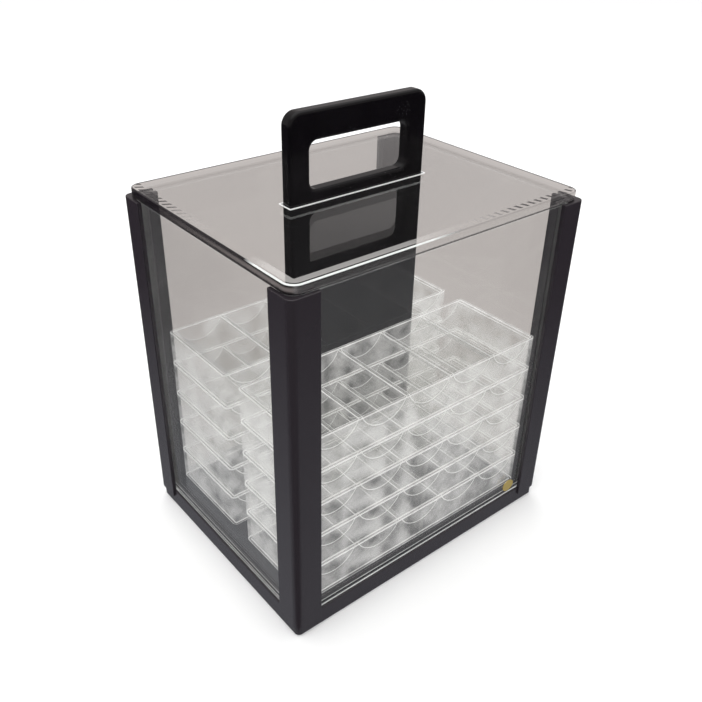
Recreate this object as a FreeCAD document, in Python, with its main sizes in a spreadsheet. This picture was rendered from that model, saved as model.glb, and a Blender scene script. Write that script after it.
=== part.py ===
import FreeCAD, Part
import Sketcher
import math
import os

# A carrying case for 1000 casino chips: a black base tray, four black corner posts with
# grooves, two fixed clear sides, two clear sliding doors, a clear lift-off lid, a black
# handle that runs down between the two stacks as a divider, and ten clear chip racks.
# Millimetres. +X runs to the case's right, +Y to its rear, +Z up. The origin is the
# middle of the footprint, at the height of the surface that the case stands on. TOUCH is
# how near two edges or planes must be to count as meeting.

doc = FreeCAD.newDocument("chip_case")

SIDES = (-1, 1)
TROUGHS = 5
RACKS = 5
CELL_COLUMNS = 7
CELL_ROWS = 3
SCREW_STEPS = (-1, 0, 1)
TOUCH = 0.01

SIZES = {
    # chips
    "chip_diameter": 39.0,
    "chip_thick": 3.5,
    "chips_in_row": 20,
    "chip_slack": 1.0,
    "chip_clear": 0.3,
    # one rack
    "trough_depth": 13.0,
    "trough_shell": 2.0,
    "divider_top": 2.8,
    "cusp_flat": 0.4,
    "rack_wall": 2.5,
    "rack_end": 3.5,
    "rack_under": 13.6,
    "rack_round": 2.5,
    "rack_gap": 0.2,
    "lug_width": 5.0,
    "lug_thick": 1.8,
    "lug_rise": 8.0,
    "lug_from_end": 12.0,
    # corner posts
    "post_thick": 9.0,
    "post_leg": 20.5,
    "post_round": 5.0,
    "post_edge": 0.6,
    "rack_side_clear": 7.5,
    "rack_front_clear": 1.0,
    "head_clear": 21.9,
    # clear panels and their grooves
    "panel_thick": 3.0,
    "panel_recess": 3.0,
    "panel_clear": 0.25,
    "panel_end_clear": 0.6,
    "groove_reach": 8.0,
    "panel_top_gap": 0.5,
    # base tray
    "foot_proud": 1.0,
    "tray_inset": 1.5,
    "tray_rim": 14.0,
    "tray_step": 1.5,
    "tray_groove": 3.0,
    "post_seat": 8.0,
    "tray_skin": 3.5,
    "tray_band": 10.0,
    "tray_rib": 2.5,
    "tray_edge": 0.8,
    # handle and divider plate
    "handle_width": 111.0,
    "handle_thick": 9.5,
    "handle_rise": 57.5,
    "handle_corner": 9.0,
    "handle_edge": 2.2,
    "window_width": 80.0,
    "window_height": 31.0,
    "window_sill": 7.5,
    "window_corner": 6.0,
    "stack_gap": 3.25,
    "plate_socket": 3.0,
    "plate_clear": 0.15,
    # lid
    "lid_inset": 2.5,
    "lid_height": 6.5,
    "lid_plate": 3.2,
    "lid_skirt": 3.2,
    "lid_corner": 8.0,
    "lid_edge": 0.8,
    "slot_clear": 0.8,
    # fasteners and feet
    "screw_radius": 1.5,
    "screw_clear": 0.2,
    "screw_bite": 0.02,
    "screw_head": 2.7,
    "screw_head_rise": 2.2,
    "screw_grip": 18.0,
    "screw_inset": 5.4,
    "screw_spacing": 35.0,
    "head_recess": 3.0,
    "head_recess_clear": 0.3,
    "socket_flats": 1.25,
    "socket_depth": 1.2,
    "plate_rib": 7.0,
    "foot_radius": 7.0,
    "foot_taper": 0.5,
    "foot_recess": 1.2,
    "foot_clear": 0.1,
    "foot_boss": 9.0,
    "foot_from_end": 22.0,
    # seal on the front door
    "seal_width": 11.5,
    "seal_height": 10.0,
    "seal_thick": 0.4,
    "seal_from_end": 32.0,
    "seal_above_rim": 7.5,
}

# Sizes that follow from the ones above.
DERIVED = {
    "trough_radius": "chip_diameter / 2 + chip_clear",
    "trough_half": "sqrt(trough_radius ^ 2 - (trough_radius - trough_depth) ^ 2)",
    "trough_pitch": "2 * trough_half + divider_top",
    "rack_length": f"{TROUGHS} * trough_pitch + 2 * rack_end",
    "rack_depth": "chips_in_row * chip_thick + chip_slack + 2 * rack_wall",
    "rack_height": "rack_under + trough_depth",
    "rack_pitch": "rack_height + rack_gap",
    "loaded_pitch": "chip_diameter + trough_shell",
    "half_width": "rack_length / 2 + rack_side_clear + post_thick",
    "stack_start": "handle_thick / 2 + stack_gap",
    "half_depth": "stack_start + rack_depth + rack_front_clear + post_thick",
    "rim_top": "foot_proud + tray_rim",
    "floor_top": "rim_top + tray_step",
    "post_bottom": "foot_proud + post_seat",
    "post_top": f"floor_top + {RACKS - 1} * loaded_pitch + rack_under + chip_diameter + head_clear",
    "panel_bottom": "rim_top - tray_groove",
    "panel_top": "post_top - panel_top_gap",
    "panel_in": "panel_recess - panel_clear",
    "panel_out": "panel_recess + panel_thick + panel_clear",
    "panel_ends": "post_leg - groove_reach + panel_end_clear",
    "lid_top": "post_top + lid_height",
    "handle_top": "lid_top + handle_rise",
    "plate_bottom": "floor_top - plate_socket",
    "tray_half_width": "half_width - tray_inset",
    "tray_half_depth": "half_depth - tray_inset",
    "screw_x": "half_width - screw_inset",
    "screw_y": "half_depth - screw_inset",
    "foot_x": "half_width - foot_from_end",
    "foot_y": "half_depth - foot_from_end",
}


def make_sheet():
    """The spreadsheet that holds every size, one aliased cell per value."""
    table = doc.addObject("Spreadsheet::Sheet", "sizes")
    row = 1
    for name, number in SIZES.items():
        table.set(f"A{row}", name)
        table.set(f"B{row}", str(number))
        table.setAlias(f"B{row}", name)
        row += 1
    doc.recompute()
    for name, formula in DERIVED.items():
        table.set(f"A{row}", name)
        table.set(f"B{row}", "=" + formula)
        table.setAlias(f"B{row}", name)
        doc.recompute()
        row += 1
    return table


sheet = make_sheet()


def bound(formula):
    """The formula with every size name written as a reference to the sheet."""
    words = []
    word = ""
    for letter in formula + " ":
        if letter.isalnum() or letter == "_":
            word += letter
            continue
        known = word in SIZES or word in DERIVED
        words.append("sizes." + word if known else word)
        words.append(letter)
        word = ""
    return "".join(words).strip()


def value(formula):
    """The number that a formula of size names comes to."""
    result = sheet.evalExpression(bound(formula))
    return float(getattr(result, "Value", result))


def bind(thing, **formulas):
    """Ties properties of an object to formulas of size names."""
    for name, formula in formulas.items():
        thing.setExpression(name, bound(formula))


def place(thing, x="0", y="0", z="0", turn=0):
    """Puts an object at a place given by formulas, turned about Z by whole degrees."""
    axis = FreeCAD.Vector(0, 0, 1)
    thing.Placement = FreeCAD.Placement(FreeCAD.Vector(), FreeCAD.Rotation(axis, turn))
    thing.setExpression("Placement.Base.x", bound(x))
    thing.setExpression("Placement.Base.y", bound(y))
    thing.setExpression("Placement.Base.z", bound(z))
    return thing


# Sketches and PartDesign features


def new_body(label):
    body = doc.addObject("PartDesign::Body", label)
    body.Label = label
    return body


def origin_feature(body, role):
    """One of the planes or axes that every body starts with."""
    for feature in body.Origin.OriginFeatures:
        if feature.Role == role:
            return feature
    raise ValueError(role)


def new_sketch(body, name, role="XY_Plane", lift=None):
    """A sketch on one of the body's own planes, raised off it by a formula."""
    sketch = body.newObject("Sketcher::SketchObject", name)
    sketch.AttachmentSupport = [(origin_feature(body, role), "")]
    sketch.MapMode = "FlatFace"
    if lift is not None:
        sketch.setExpression("AttachmentOffset.Base.z", bound(lift))
    return sketch


def held_point(index, end, x, y):
    """The rules, with their formulas, that hold one point of a sketch's geometry."""
    return [
        (Sketcher.Constraint("DistanceX", -1, 1, index, end, value(x)), x),
        (Sketcher.Constraint("DistanceY", -1, 1, index, end, value(y)), y),
    ]


def add_rules(sketch, rules):
    """Adds constraints, each with the formula that drives it or None."""
    numbers = sketch.addConstraint([rule for rule, formula in rules])
    for number, (rule, formula) in zip(numbers, rules):
        if formula is not None:
            sketch.setExpression(f"Constraints[{number}]", bound(formula))


def draw_outline(sketch, corners):
    """A closed outline. Each corner is (x, y), or (x, y, radius) where an arc that
    bulges down leads to the next corner."""
    first = sketch.GeometryCount
    count = len(corners)
    pieces = []
    rules = []
    for i, corner in enumerate(corners):
        index = first + i
        following = corners[(i + 1) % count]
        start = FreeCAD.Vector(value(corner[0]), value(corner[1]), 0)
        end = FreeCAD.Vector(value(following[0]), value(following[1]), 0)
        if len(corner) == 2:
            pieces.append(Part.LineSegment(start, end))
            joint = (index, 2, first + (i + 1) % count, 1)
            rules.append((Sketcher.Constraint("Coincident", *joint), None))
            if len(corners[i - 1]) == 2:
                rules += held_point(index, 1, corner[0], corner[1])
            continue
        radius = value(corner[2])
        middle = (start + end) / 2
        sag = radius - math.sqrt(radius ** 2 - (end - start).Length ** 2 / 4)
        low = FreeCAD.Vector(middle.x, middle.y - sag, 0)
        pieces.append(Part.Arc(start, low, end))
        rules.append((Sketcher.Constraint("Radius", index, radius), corner[2]))
        rules += held_point(index, 1, corner[0], corner[1])
        rules += held_point(index, 2, following[0], following[1])
        joint = (index, 2, first + (i + 1) % count, 1)
        rules.append((Sketcher.Constraint("Coincident", *joint), None))
    sketch.addGeometry(pieces, False)
    add_rules(sketch, rules)
    return sketch


def draw_box(sketch, x0, y0, x1, y1):
    return draw_outline(sketch, [(x0, y0), (x1, y0), (x1, y1), (x0, y1)])


def draw_circle(sketch, x, y, radius):
    centre = FreeCAD.Vector(value(x), value(y), 0)
    axis = FreeCAD.Vector(0, 0, 1)
    index = sketch.addGeometry(Part.Circle(centre, axis, value(radius)), False)
    size = Sketcher.Constraint("Radius", index, value(radius))
    add_rules(sketch, [(size, radius)] + held_point(index, 3, x, y))
    return sketch


def add_pad(body, sketch, length, midplane=False, down=False):
    pad = body.newObject("PartDesign::Pad", "pad_" + sketch.Name)
    pad.Profile = sketch
    pad.SideType = "Symmetric" if midplane else "One side"
    pad.Reversed = down
    bind(pad, Length=length)
    doc.recompute()
    return pad


def cut_pocket(body, sketch, length, midplane=False, up=False):
    """A pocket, which must take something away from the body."""
    before = body.Shape.Volume
    pocket = body.newObject("PartDesign::Pocket", "cut_" + sketch.Name)
    pocket.Profile = sketch
    pocket.SideType = "Symmetric" if midplane else "One side"
    pocket.Reversed = up
    bind(pocket, Length=length)
    doc.recompute()
    if not body.Shape.Volume < before:
        raise RuntimeError(sketch.Name + " cuts nothing")
    return pocket


def repeat_cell(body, hollow, step_x, step_y):
    """Repeats one hollow in columns along X and rows along Y, and behind the middle."""
    before = body.Shape.Volume
    single = hollow.AddSubShape.Volume
    grid = body.newObject("PartDesign::MultiTransform", "cell_grid")
    grid.Originals = [hollow]
    columns = body.newObject("PartDesign::LinearPattern", "cell_columns")
    columns.Direction = (origin_feature(body, "X_Axis"), [""])
    columns.Occurrences = CELL_COLUMNS
    bind(columns, Length=f"{CELL_COLUMNS - 1} * ({step_x})")
    rows = body.newObject("PartDesign::LinearPattern", "cell_rows")
    rows.Direction = (origin_feature(body, "Y_Axis"), [""])
    rows.Occurrences = CELL_ROWS
    bind(rows, Length=f"{CELL_ROWS - 1} * ({step_y})")
    halves = body.newObject("PartDesign::Mirrored", "cell_halves")
    halves.MirrorPlane = (origin_feature(body, "XZ_Plane"), [""])
    grid.Transformations = [columns, rows, halves]
    body.Tip = grid
    doc.recompute()
    wanted = (2 * CELL_COLUMNS * CELL_ROWS - 1) * single
    if abs(before - body.Shape.Volume - wanted) > 0.01 * wanted:
        raise RuntimeError("the cells under the tray are not all cut")


def round_edges(body, wanted, radius, kind="PartDesign::Fillet"):
    """Rounds (or chamfers) the edges of the body's tip that pass the wanted test."""
    tip = body.Tip
    names = []
    for i, edge in enumerate(tip.Shape.Edges):
        if wanted(edge):
            names.append(f"Edge{i + 1}")
    if not names:
        raise RuntimeError(body.Label + " has no edge to round")
    feature = body.newObject(kind, "round_" + body.Name)
    feature.Base = (tip, names)
    bind(feature, **{"Radius" if kind.endswith("Fillet") else "Size": radius})
    doc.recompute()
    return feature


def is_upright(edge):
    """True for a straight edge along Z."""
    box = edge.BoundBox
    return box.XLength < TOUCH and box.YLength < TOUCH and box.ZLength > TOUCH


def lies_at(edge, height):
    """True for an edge that lies flat at this height."""
    box = edge.BoundBox
    return abs(box.ZMin - height) < TOUCH and abs(box.ZMax - height) < TOUCH


# Sub-parts


def make_base_tray():
    """The moulded tray: a rim with a groove for the panels, a raised floor, seats for
    the posts, a socket for the divider plate, and a ribbed hollow underside."""
    body = new_body("base_tray")
    place(body, z="foot_proud")
    outline = new_sketch(body, "tray_outline")
    draw_box(outline, "-tray_half_width", "-tray_half_depth", "tray_half_width", "tray_half_depth")
    add_pad(body, outline, "tray_rim")
    rim = value("tray_rim")
    round_edges(body, is_upright, "post_round - tray_inset")
    round_edges(body, lambda edge: lies_at(edge, rim), "tray_edge")

    floor = new_sketch(body, "tray_floor")
    inner_x = "half_width - panel_out"
    inner_y = "half_depth - panel_out"
    draw_box(floor, f"-({inner_x})", f"-({inner_y})", inner_x, inner_y)
    add_pad(body, floor, "tray_rim + tray_step")

    grooves = new_sketch(body, "panel_grooves", lift="tray_rim")
    reach_x = "half_width - post_leg"
    reach_y = "half_depth - post_leg"
    for side in SIDES:
        near = f"{side} * (half_depth - panel_in)"
        far = f"{side} * (half_depth - panel_out)"
        draw_box(grooves, f"-({reach_x})", near, reach_x, far)
        near = f"{side} * (half_width - panel_in)"
        far = f"{side} * (half_width - panel_out)"
        draw_box(grooves, near, f"-({reach_y})", far, reach_y)
    cut_pocket(body, grooves, "tray_groove")

    seats = new_sketch(body, "post_seats", lift="tray_rim + tray_step")
    for sx in SIDES:
        for sy in SIDES:
            outer_x = f"{sx} * half_width"
            outer_y = f"{sy} * half_depth"
            leg_x = f"{sx} * (half_width - post_leg)"
            leg_y = f"{sy} * (half_depth - post_leg)"
            inner_x = f"{sx} * (half_width - post_thick)"
            inner_y = f"{sy} * (half_depth - post_thick)"
            draw_outline(
                seats,
                [
                    (outer_x, outer_y),
                    (leg_x, outer_y),
                    (leg_x, inner_y),
                    (inner_x, inner_y),
                    (inner_x, leg_y),
                    (outer_x, leg_y),
                ],
            )
    cut_pocket(body, seats, "tray_rim + tray_step - post_seat")

    socket = new_sketch(body, "plate_socket", lift="tray_rim + tray_step")
    half_x = "handle_width / 2 + plate_clear"
    half_y = "handle_thick / 2 + plate_clear"
    draw_box(socket, f"-({half_x})", f"-({half_y})", half_x, half_y)
    cut_pocket(body, socket, "plate_socket")

    cell = new_sketch(body, "underside_cell")
    cell_x = "tray_half_width - tray_band"
    cell_y = "tray_half_depth - tray_band"
    step_x = f"(2 * ({cell_x}) + tray_rib) / {CELL_COLUMNS}"
    step_y = f"({cell_y} - plate_rib + tray_rib) / {CELL_ROWS}"
    right = f"{step_x} - tray_rib - ({cell_x})"
    draw_box(cell, f"-({cell_x})", "plate_rib", right, f"plate_rib + {step_y} - tray_rib")
    hollow = cut_pocket(body, cell, "tray_rim + tray_step - tray_skin", up=True)
    repeat_cell(body, hollow, step_x, step_y)

    bosses = new_sketch(body, "foot_bosses")
    recesses = new_sketch(body, "foot_recesses")
    screw_holes = new_sketch(body, "screw_holes")
    head_holes = new_sketch(body, "head_holes")
    for sx in SIDES:
        for sy in SIDES:
            draw_circle(bosses, f"{sx} * foot_x", f"{sy} * foot_y", "foot_boss")
            draw_circle(recesses, f"{sx} * foot_x", f"{sy} * foot_y", "foot_radius + foot_clear")
            spot = (f"{sx} * screw_x", f"{sy} * screw_y")
            draw_circle(screw_holes, *spot, "screw_radius + screw_clear")
            draw_circle(head_holes, *spot, "screw_head + head_recess_clear")
    for step in SCREW_STEPS:
        spot = (f"{step} * screw_spacing", "0")
        draw_circle(screw_holes, *spot, "screw_radius + screw_clear")
        draw_circle(head_holes, *spot, "screw_head + head_recess_clear")
    add_pad(body, bosses, "tray_rim")
    cut_pocket(body, recesses, "foot_recess", up=True)
    cut_pocket(body, screw_holes, "tray_rim + tray_step", up=True)
    cut_pocket(body, head_holes, "head_recess", up=True)
    return body


def make_corner_post(label, sx, sy, turn):
    """An L-shaped post with a groove in the end of each leg, standing on its seat. It
    is drawn with its outer corner at its own origin and turned to face the case."""
    body = new_body(label)
    place(body, f"{sx} * half_width", f"{sy} * half_depth", "post_bottom", turn)
    section = new_sketch(body, label + "_section")
    bottom = "post_leg - groove_reach"
    leg = [
        ("post_leg", "0"),
        ("post_leg", "panel_in"),
        (bottom, "panel_in"),
        (bottom, "panel_out"),
        ("post_leg", "panel_out"),
        ("post_leg", "post_thick"),
    ]
    mirrored = [(y, x) for x, y in reversed(leg)]
    draw_outline(section, [("0", "0")] + leg + [("post_thick", "post_thick")] + mirrored)
    add_pad(body, section, "post_top - post_bottom")

    hole = new_sketch(body, label + "_hole")
    draw_circle(hole, "screw_inset", "screw_inset", "screw_radius + screw_bite")
    cut_pocket(body, hole, "screw_grip", up=True)

    def at_corner(edge):
        return is_upright(edge) and abs(edge.BoundBox.XMin) + abs(edge.BoundBox.YMin) < TOUCH

    round_edges(body, at_corner, "post_round")

    height = value("post_top - post_bottom")
    leg_end = value("post_leg")

    def at_rim(edge):
        box = edge.BoundBox
        outside = min(box.XMin, box.YMin) < TOUCH
        return lies_at(edge, height) and outside and edge.Length > value("post_round")

    def at_leg_end(edge):
        box = edge.BoundBox
        reaches = abs(max(box.XMax, box.YMax) - leg_end) < TOUCH
        return is_upright(edge) and reaches and min(box.XMin, box.YMin) < TOUCH

    round_edges(body, lambda edge: at_rim(edge) or at_leg_end(edge), "post_edge")
    return body


def make_side_panel(label, side):
    """A fixed clear side, held in the grooves of two posts and of the tray."""
    panel = doc.addObject("Part::Box", label)
    panel.Label = label
    bind(panel, Length="panel_thick", Width="2 * (half_depth - panel_ends)")
    bind(panel, Height="panel_top - panel_bottom")
    middle = "half_width - panel_recess - panel_thick / 2"
    place(panel, f"{side} * ({middle}) - panel_thick / 2", "-(half_depth - panel_ends)", "panel_bottom")
    return panel


def make_door(label, side):
    """A clear door, which slides up in the grooves of two posts."""
    panel = doc.addObject("Part::Box", label)
    panel.Label = label
    bind(panel, Length="2 * (half_width - panel_ends)", Width="panel_thick")
    bind(panel, Height="panel_top - panel_bottom")
    middle = "half_depth - panel_recess - panel_thick / 2"
    place(panel, "-(half_width - panel_ends)", f"{side} * ({middle}) - panel_thick / 2", "panel_bottom")
    return panel


def make_lid():
    """A clear moulded lid: a plate with a shallow skirt that stands on the posts, and
    a slot through which the handle passes."""
    body = new_body("lid")
    place(body, z="post_top")
    outline = new_sketch(body, "lid_outline")
    half_x = "half_width - lid_inset"
    half_y = "half_depth - lid_inset"
    draw_box(outline, f"-({half_x})", f"-({half_y})", half_x, half_y)
    add_pad(body, outline, "lid_height")
    round_edges(body, is_upright, "lid_corner")

    hollow = new_sketch(body, "lid_hollow")
    draw_box(
        hollow,
        f"-({half_x} - lid_skirt)",
        f"-({half_y} - lid_skirt)",
        f"{half_x} - lid_skirt",
        f"{half_y} - lid_skirt",
    )
    cut_pocket(body, hollow, "lid_height - lid_plate", up=True)

    slot = new_sketch(body, "handle_slot")
    slot_x = "handle_width / 2 + slot_clear"
    slot_y = "handle_thick / 2 + slot_clear"
    draw_box(slot, f"-({slot_x})", f"-({slot_y})", slot_x, slot_y)
    cut_pocket(body, slot, "lid_height", up=True)
    top = value("lid_height")
    reach = value("half_width - lid_inset - lid_corner") - TOUCH

    def at_outer_top(edge):
        box = edge.BoundBox
        return lies_at(edge, top) and max(abs(box.XMin), abs(box.XMax)) > reach

    round_edges(body, at_outer_top, "lid_edge")
    return body


def make_handle_divider():
    """The carrying handle and the divider between the two stacks, one upright plate
    with a hand window, its foot in the tray's socket."""
    body = new_body("handle_divider")
    place(body, z="plate_bottom")
    face = new_sketch(body, "plate_face", "XZ_Plane")
    draw_box(face, "-handle_width / 2", "0", "handle_width / 2", "handle_top - plate_bottom")
    add_pad(body, face, "handle_thick", midplane=True)

    window = new_sketch(body, "hand_window", "XZ_Plane")
    sill = "lid_top + window_sill - plate_bottom"
    draw_box(window, "-window_width / 2", sill, "window_width / 2", f"{sill} + window_height")
    cut_pocket(body, window, "handle_thick", midplane=True)

    top = value("handle_top - plate_bottom")
    half = value("handle_width / 2")
    low = value(sill)

    def along_y(edge):
        box = edge.BoundBox
        return box.XLength < TOUCH and box.ZLength < TOUCH and box.YLength > TOUCH

    def top_corner(edge):
        return along_y(edge) and edge.BoundBox.ZMin > top - TOUCH

    def window_corner(edge):
        box = edge.BoundBox
        return along_y(edge) and abs(box.XMin) < half - TOUCH and box.ZMin > low - TOUCH

    round_edges(body, top_corner, "handle_corner")
    round_edges(body, window_corner, "window_corner")

    side = value("handle_thick / 2")

    def face_edge(edge):
        box = edge.BoundBox
        on_face = box.YLength < TOUCH and abs(abs(box.YMin) - side) < TOUCH
        return on_face and box.ZMax > TOUCH

    round_edges(body, face_edge, "handle_edge")

    holes = new_sketch(body, "plate_holes")
    for step in SCREW_STEPS:
        draw_circle(holes, f"{step} * screw_spacing", "0", "screw_radius + screw_bite")
    cut_pocket(body, holes, "screw_grip", up=True)
    return body


def make_rack(label, side, level):
    """A clear rack: five half-round troughs for rows of chips, closed by walls all
    round, with a hollow underside and four small lugs inside its foot."""
    body = new_body(label)
    middle = "stack_start + rack_depth / 2"
    place(body, "0", f"{side} * ({middle})", f"floor_top + {level} * rack_pitch")
    outline = new_sketch(body, label + "_outline")
    draw_box(outline, "-rack_length / 2", "-rack_depth / 2", "rack_length / 2", "rack_depth / 2")
    add_pad(body, outline, "rack_height")
    round_edges(body, is_upright, "rack_round")

    hollow = new_sketch(body, label + "_hollow", "XZ_Plane")
    wall_x = "rack_length / 2 - rack_wall"
    radius = "trough_radius + trough_shell"
    half = "(trough_pitch - cusp_flat) / 2"
    ceiling = f"rack_under + trough_radius - sqrt(({radius}) ^ 2 - ({half}) ^ 2)"
    corners = [(f"-({wall_x})", "0"), (f"-({wall_x})", ceiling)]
    for k in range(TROUGHS):
        centre = f"{k - TROUGHS // 2} * trough_pitch"
        corners.append((f"{centre} - {half}", ceiling, radius))
        corners.append((f"{centre} + {half}", ceiling))
    corners.append((wall_x, ceiling))
    corners.append((wall_x, "0"))
    draw_outline(hollow, corners)
    cut_pocket(body, hollow, "rack_depth - 2 * rack_wall", midplane=True)

    troughs = new_sketch(body, label + "_troughs", "XZ_Plane")
    axis = "rack_under + trough_radius"
    for k in range(TROUGHS):
        draw_circle(troughs, f"{k - TROUGHS // 2} * trough_pitch", axis, "trough_radius")
    cut_pocket(body, troughs, "rack_depth - 2 * rack_wall", midplane=True)

    lugs = new_sketch(body, label + "_lugs")
    for sx in SIDES:
        for sy in SIDES:
            near = f"{sx} * (rack_length / 2 - rack_wall)"
            far = f"{sx} * (rack_length / 2 - rack_wall - lug_thick)"
            low = f"{sy} * (rack_depth / 2 - lug_from_end - lug_width / 2)"
            high = f"{sy} * (rack_depth / 2 - lug_from_end + lug_width / 2)"
            draw_box(lugs, near, low, far, high)
    add_pad(body, lugs, "lug_rise")
    return body


def group(label, members):
    """Like pieces kept together as separate solids."""
    bundle = doc.addObject("Part::Compound", label)
    bundle.Label = label
    bundle.Links = members
    return bundle


def make_screw(name, x, y):
    """A socket-head screw, driven up from under the tray."""
    head = doc.addObject("Part::Cylinder", name + "_head")
    bind(head, Radius="screw_head", Height="screw_head_rise")
    place(head, z="-screw_head_rise")
    shank = doc.addObject("Part::Cylinder", name + "_shank")
    bind(shank, Radius="screw_radius", Height="screw_grip")
    solid = doc.addObject("Part::Fuse", name + "_solid")
    solid.Base = head
    solid.Tool = shank
    socket = doc.addObject("Part::Prism", name + "_socket")
    socket.Polygon = 6
    bind(socket, Circumradius="socket_flats", Height="socket_depth")
    place(socket, z="-screw_head_rise")
    screw = doc.addObject("Part::Cut", name)
    screw.Base = solid
    screw.Tool = socket
    return place(screw, x, y, "foot_proud + head_recess")


def make_post_screws():
    screws = []
    for sx in SIDES:
        for sy in SIDES:
            name = f"post_screw_{len(screws) + 1}"
            screws.append(make_screw(name, f"{sx} * screw_x", f"{sy} * screw_y"))
    return group("post_screws", screws)


def make_divider_screws():
    screws = []
    for step in SCREW_STEPS:
        name = f"divider_screw_{len(screws) + 1}"
        screws.append(make_screw(name, f"{step} * screw_spacing", "0"))
    return group("divider_screws", screws)


def make_rubber_feet():
    """Four round pads, set into the tray's foot recesses."""
    feet = []
    for sx in SIDES:
        for sy in SIDES:
            foot = doc.addObject("Part::Cone", f"foot_{len(feet) + 1}")
            bind(foot, Radius1="foot_radius - foot_taper", Radius2="foot_radius")
            bind(foot, Height="foot_proud + foot_recess")
            feet.append(place(foot, f"{sx} * foot_x", f"{sy} * foot_y"))
    return group("rubber_feet", feet)


def make_gold_seal():
    """A plain gold oval stuck on the front door, low at its right-hand end."""
    body = new_body("gold_seal")
    door_face = "half_depth - panel_recess"
    place(body, "half_width - seal_from_end", f"-({door_face})", "rim_top + seal_above_rim")
    oval = new_sketch(body, "seal_oval", "XZ_Plane")
    tall = value("seal_height / 2")
    wide = value("seal_width / 2")
    ellipse = Part.Ellipse(FreeCAD.Vector(wide, 0, 0), FreeCAD.Vector(0, tall, 0), FreeCAD.Vector())
    oval.addGeometry(ellipse, False)
    oval.exposeInternalGeometry(0)
    rules = [
        (Sketcher.Constraint("Distance", 1, value("seal_width")), "seal_width"),
        (Sketcher.Constraint("Distance", 2, value("seal_height")), "seal_height"),
        (Sketcher.Constraint("Horizontal", 1), None),
        (Sketcher.Constraint("Coincident", 0, 3, -1, 1), None),
    ]
    add_rules(oval, rules)
    add_pad(body, oval, "seal_thick")
    return body


def make_all():
    pieces = [make_base_tray()]
    corners = (
        ("front_left", -1, -1, 0),
        ("front_right", 1, -1, 90),
        ("rear_right", 1, 1, 180),
        ("rear_left", -1, 1, 270),
    )
    for name, sx, sy, turn in corners:
        pieces.append(make_corner_post("corner_post_" + name, sx, sy, turn))
    pieces.append(make_side_panel("left_panel", -1))
    pieces.append(make_side_panel("right_panel", 1))
    pieces.append(make_door("front_door", -1))
    pieces.append(make_door("rear_door", 1))
    pieces.append(make_lid())
    pieces.append(make_handle_divider())
    for name, side in (("front", -1), ("rear", 1)):
        for level in range(RACKS):
            pieces.append(make_rack(f"rack_{name}_{level + 1}", side, level))
    pieces.append(make_post_screws())
    pieces.append(make_divider_screws())
    pieces.append(make_rubber_feet())
    pieces.append(make_gold_seal())
    return pieces


def check_all(pieces):
    """Stops if any object failed to compute or any sub-part isn't a sound solid."""
    for thing in doc.Objects:
        if "Invalid" in thing.State or "Error" in thing.State:
            raise RuntimeError(f"{thing.Label}: {thing.State}")
    for piece in pieces:
        shape = piece.Shape
        if shape.isNull() or not shape.isValid() or not shape.Solids:
            raise RuntimeError(piece.Label + " has no valid solid")


parts = make_all()
doc.recompute()
check_all(parts)
os.makedirs("parts", exist_ok=True)
for part in parts:
    part.Shape.exportStep(f"parts/{part.Label}.step")
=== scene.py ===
import math

import bmesh
import bpy
from bpy.props import FloatProperty, FloatVectorProperty, PointerProperty
from mathutils import Matrix, Vector


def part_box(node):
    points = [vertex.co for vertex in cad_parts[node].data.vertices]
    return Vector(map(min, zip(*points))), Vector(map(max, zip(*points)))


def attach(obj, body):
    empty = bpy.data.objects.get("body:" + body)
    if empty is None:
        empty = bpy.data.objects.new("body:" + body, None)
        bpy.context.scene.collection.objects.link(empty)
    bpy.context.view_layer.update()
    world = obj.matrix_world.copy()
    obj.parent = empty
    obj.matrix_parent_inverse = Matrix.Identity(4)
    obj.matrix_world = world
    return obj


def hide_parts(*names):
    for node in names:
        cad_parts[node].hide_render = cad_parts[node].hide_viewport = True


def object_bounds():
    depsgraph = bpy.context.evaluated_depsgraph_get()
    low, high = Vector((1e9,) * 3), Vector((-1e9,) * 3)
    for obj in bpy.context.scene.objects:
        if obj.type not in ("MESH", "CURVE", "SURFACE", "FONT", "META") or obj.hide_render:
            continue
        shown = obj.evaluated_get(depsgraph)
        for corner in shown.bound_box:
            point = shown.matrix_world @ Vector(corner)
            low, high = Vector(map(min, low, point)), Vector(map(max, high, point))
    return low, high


bl_info = {
    "name": "Chip Case Finish",
    "version": (1, 0, 0),
    "blender": (4, 5, 0),
    "location": "View3D > Sidebar > Chip Case",
    "description": "Builds the finished clear-walled chip case around its packed frame",
    "category": "Object",
}

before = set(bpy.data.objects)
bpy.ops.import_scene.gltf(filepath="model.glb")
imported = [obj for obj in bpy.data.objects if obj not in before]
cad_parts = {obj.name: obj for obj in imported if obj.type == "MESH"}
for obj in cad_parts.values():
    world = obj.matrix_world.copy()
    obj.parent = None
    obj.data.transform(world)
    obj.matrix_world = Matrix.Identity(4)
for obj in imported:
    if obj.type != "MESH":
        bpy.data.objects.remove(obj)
CAD_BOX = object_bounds()

MM = 0.001
ENDS = ("front", "rear")
SIDES = ("left", "right")
LEVELS = range(1, 6)
RACKS = [f"rack_{end}_{level}" for end in ENDS for level in LEVELS]
POSTS = [f"corner_post_{end}_{side}" for end in ENDS for side in SIDES]
TROUGHS = 5

# The camera stands to the left of the case's front, above it, and looks down at it.
CAMERA_PLACE = Vector((-326.3, -392.0, 448.6)) * MM
CAMERA_TURN = math.radians(39.69)
CAMERA_DIP = math.radians(31.52)
CAMERA_ROLL = math.radians(1.23)
CAMERA_LENS = 41.71

# Brightness of the painted glow of the haze in clear plastic, an emission lit by no lamp.
PAINTED_HAZE_GLOW = 0.8
# How the noise is drawn out for the painted streaks of glowing haze along a rack's troughs.
STREAK_STRETCH = (330.0, 6.0, 0.0)

# Distances from the lid's front left corner over which each of its painted highlights dies away.
TOP_GLEAM = (100.0 * MM, 130.0 * MM)
FOOT_GLEAM = (18.0 * MM, 30.0 * MM)
BORDER_GLEAM = (85.0 * MM, 130.0 * MM)
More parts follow.
